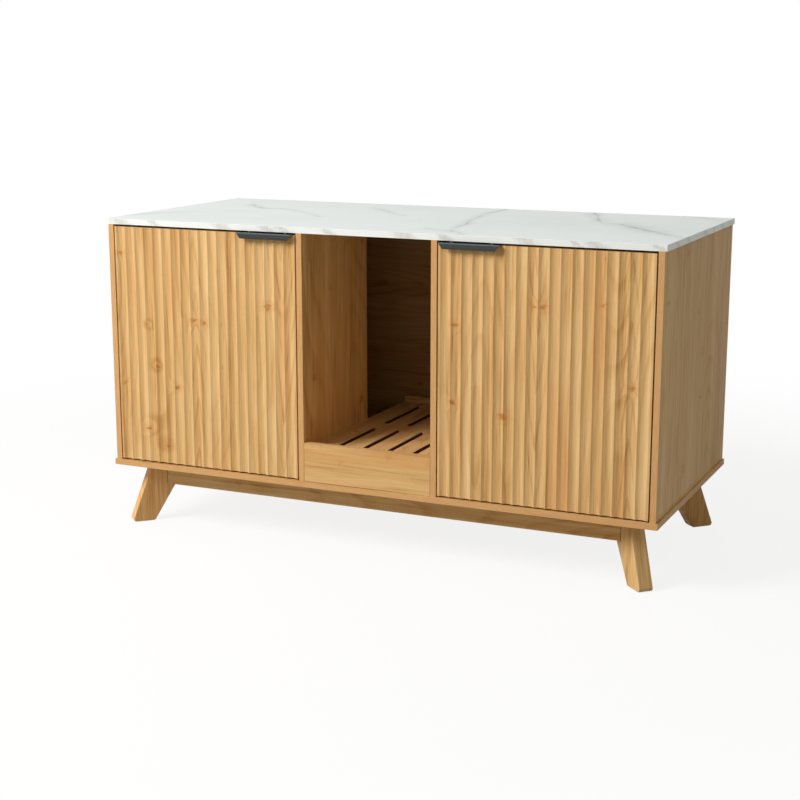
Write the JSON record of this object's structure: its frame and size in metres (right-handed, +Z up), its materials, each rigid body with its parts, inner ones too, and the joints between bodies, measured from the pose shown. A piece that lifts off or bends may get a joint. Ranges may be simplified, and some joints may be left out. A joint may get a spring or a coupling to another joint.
{
  "type": "cat litter box cabinet",
  "caption": "Low wooden cabinet on splayed legs for litter boxes: fluted side doors, open middle bay with a lift-out slatted floor, marble-look top.",
  "frame": {"origin": "on the floor, under the middle of the cabinet's bounding box", "axes": "+X along the width, to the right seen from the front; +Y toward the back, so the doors face -Y; +Z up"},
  "size_m": [1.2, 0.552, 0.6615],
  "materials": {
    "marble_top": "12 mm board with a satin marble-look laminate, pale grey with thin grey veins",
    "oak_door": "satin warm oak with knots, upright grain, fluted front",
    "oak_upright": "satin warm oak laminate, upright grain",
    "oak_board": "satin warm oak laminate, grain along the width",
    "oak_floor": "satin warm oak laminate, grain along the depth",
    "oak_leg": "satin solid wood, grain along the leg",
    "oak_rail": "satin warm oak, grain along the rail",
    "charcoal_metal": "satin charcoal powder coat",
    "hinge_steel": "nickel-plated pressed steel",
    "zinc_steel": "zinc-plated steel",
    "brass_insert": "plain brass",
    "dowel_wood": "bare beech",
    "grey_plastic": "matt grey plastic round a magnet"
  },
  "bodies": {
    "cabinet": {"apron_screws": "zinc_steel", "back_dowels": "dowel_wood", "back_lower_board": "oak_board", "back_upper_board": "oak_board", "base_board": "oak_board", "base_screws": "zinc_steel", "cam_bolts": "zinc_steel", "cam_locks": "zinc_steel", "center_front_board": "oak_board", "center_rear_board": "oak_board", "front_apron": "oak_rail", "front_board_screws": "zinc_steel", "left_catch": "grey_plastic", "left_catch_screws": "zinc_steel", "left_divider": "oak_upright", "left_floor_rail": "oak_rail", "left_lower_hinge_arm": "hinge_steel", "left_lower_hinge_plate": "hinge_steel", "left_plate_screws": "zinc_steel", "left_side_panel": "oak_upright", "left_upper_hinge_arm": "hinge_steel", "left_upper_hinge_plate": "hinge_steel", "leg_bolts": "zinc_steel", "leg_front_left": "oak_leg", "leg_front_right": "oak_leg", "leg_inserts": "brass_insert", "leg_rear_left": "oak_leg", "leg_rear_right": "oak_leg", "panel_dowels": "dowel_wood", "rear_apron": "oak_rail", "rear_board_screws": "zinc_steel", "right_catch": "grey_plastic", "right_catch_screws": "zinc_steel", "right_divider": "oak_upright", "right_floor_rail": "oak_rail", "right_lower_hinge_arm": "hinge_steel", "right_lower_hinge_plate": "hinge_steel", "right_plate_screws": "zinc_steel", "right_side_panel": "oak_upright", "right_upper_hinge_arm": "hinge_steel", "right_upper_hinge_plate": "hinge_steel", "top_slab": "marble_top"},
    "left_door_leaf": {"left_cup_screws": "zinc_steel", "left_door": "oak_door", "left_handle": "charcoal_metal", "left_handle_screws": "zinc_steel", "left_lower_hinge_cup": "hinge_steel", "left_strike_plate": "hinge_steel", "left_strike_screw": "zinc_steel", "left_upper_hinge_cup": "hinge_steel"},
    "right_door_leaf": {"right_cup_screws": "zinc_steel", "right_door": "oak_door", "right_handle": "charcoal_metal", "right_handle_screws": "zinc_steel", "right_lower_hinge_cup": "hinge_steel", "right_strike_plate": "hinge_steel", "right_strike_screw": "zinc_steel", "right_upper_hinge_cup": "hinge_steel"},
    "lift_out_floor": {"slatted_floor": "oak_floor"}
  },
  "joints": [
    {"name": "left_door_hinge", "type": "hinge", "parent": "cabinet", "child": "left_door_leaf", "pos_m": [-0.5825, -0.264, 0.3955], "axis": [0, 0, -1], "range_deg": [0, 105]},
    {"name": "right_door_hinge", "type": "hinge", "parent": "cabinet", "child": "right_door_leaf", "pos_m": [0.5825, -0.264, 0.3955], "axis": [0, 0, 1], "range_deg": [0, 105]},
    {"name": "floor_lift", "type": "slide", "parent": "cabinet", "child": "lift_out_floor", "axis": [0, 0, 1], "range_m": [0, 0.1]}
  ]
}
